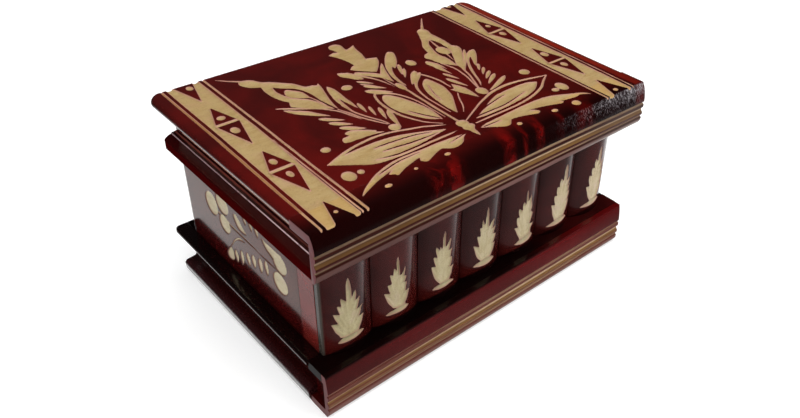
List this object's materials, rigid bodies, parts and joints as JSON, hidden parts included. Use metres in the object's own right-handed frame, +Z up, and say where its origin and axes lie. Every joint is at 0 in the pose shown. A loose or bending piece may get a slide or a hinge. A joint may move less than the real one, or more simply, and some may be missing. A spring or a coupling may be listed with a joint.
{
  "type": "puzzle box",
  "caption": "Closed wooden puzzle box with half-round front columns, grooved mouldings, carved leaf ornament, hinged lid, sliding base mouldings and a drop column.",
  "frame": {"origin": "centre of the resting plane, midway between the lid's ends and between its front and back", "axes": "+X to the right seen from the front, +Y from the front columns to the hinges, +Z up"},
  "size_m": [0.17, 0.117, 0.0865],
  "materials": {
    "lacquered_wood": "dark oxblood lacquer, glossy, carved through to pale wood",
    "bare_wood": "plain sanded wood",
    "brass": "satin",
    "iron": "satin"
  },
  "bodies": {
    "box": {"front_board": "lacquered_wood", "back_board": "lacquered_wood", "left_side_panel": "lacquered_wood", "right_side_panel": "lacquered_wood", "left_corner_post": "lacquered_wood", "right_corner_post": "lacquered_wood", "column_1": "lacquered_wood", "column_2": "lacquered_wood", "column_3": "lacquered_wood", "column_5": "lacquered_wood", "column_6": "lacquered_wood", "column_7": "lacquered_wood", "floor_lining": "bare_wood", "base_top_plate": "lacquered_wood", "base_bottom_board": "bare_wood", "base_left_runner": "bare_wood", "base_right_spacer": "bare_wood", "base_back_spacer": "bare_wood", "base_front_rails": "bare_wood", "base_right_moulding": "lacquered_wood", "base_back_moulding": "lacquered_wood", "hinge_box_leaves": "brass", "hinge_pins": "brass", "hinge_box_nails": "brass", "lock_case": "iron", "lock_post": "iron", "lock_nails": "iron"},
    "lid": {"lid_top_panel": "lacquered_wood", "lid_front_moulding": "lacquered_wood", "lid_left_moulding": "lacquered_wood", "lid_right_moulding": "lacquered_wood", "lid_front_rail": "bare_wood", "lid_back_rail": "lacquered_wood", "lid_left_rail": "lacquered_wood", "lid_right_rail": "lacquered_wood", "hinge_lid_leaves": "brass", "hinge_lid_nails": "brass", "lock_link_plate": "brass", "link_plate_nails": "brass"},
    "front_strip": {"base_front_moulding": "lacquered_wood", "column_wedge": "bare_wood"},
    "left_strip": {"base_left_moulding": "lacquered_wood", "key": "iron"},
    "secret_column": {"secret_column": "lacquered_wood"},
    "bolt": {"lock_bolt": "iron"}
  },
  "joints": [
    {"name": "lid_hinge", "type": "hinge", "parent": "box", "child": "lid", "pos_m": [0, 0.05222, 0.06607], "axis": [-1, 0, 0], "range_deg": [0, 160]},
    {"name": "base_left_slide", "type": "slide", "parent": "box", "child": "left_strip", "axis": [0, 1, 0], "range_m": [0, 0.046]},
    {"name": "base_front_slide", "type": "slide", "parent": "box", "child": "front_strip", "axis": [-1, 0, 0], "range_m": [0, 0.024]},
    {"name": "column_drop", "type": "slide", "parent": "box", "child": "secret_column", "axis": [0, 0, -1], "range_m": [0, 0.0115]},
    {"name": "lock_bolt_slide", "type": "slide", "parent": "box", "child": "bolt", "axis": [-1, 0, 0], "range_m": [0, 0.0042]}
  ],
  "couplings": [
    {"joint": "column_drop", "follows": "base_front_slide", "ratio": 0.47917}
  ]
}
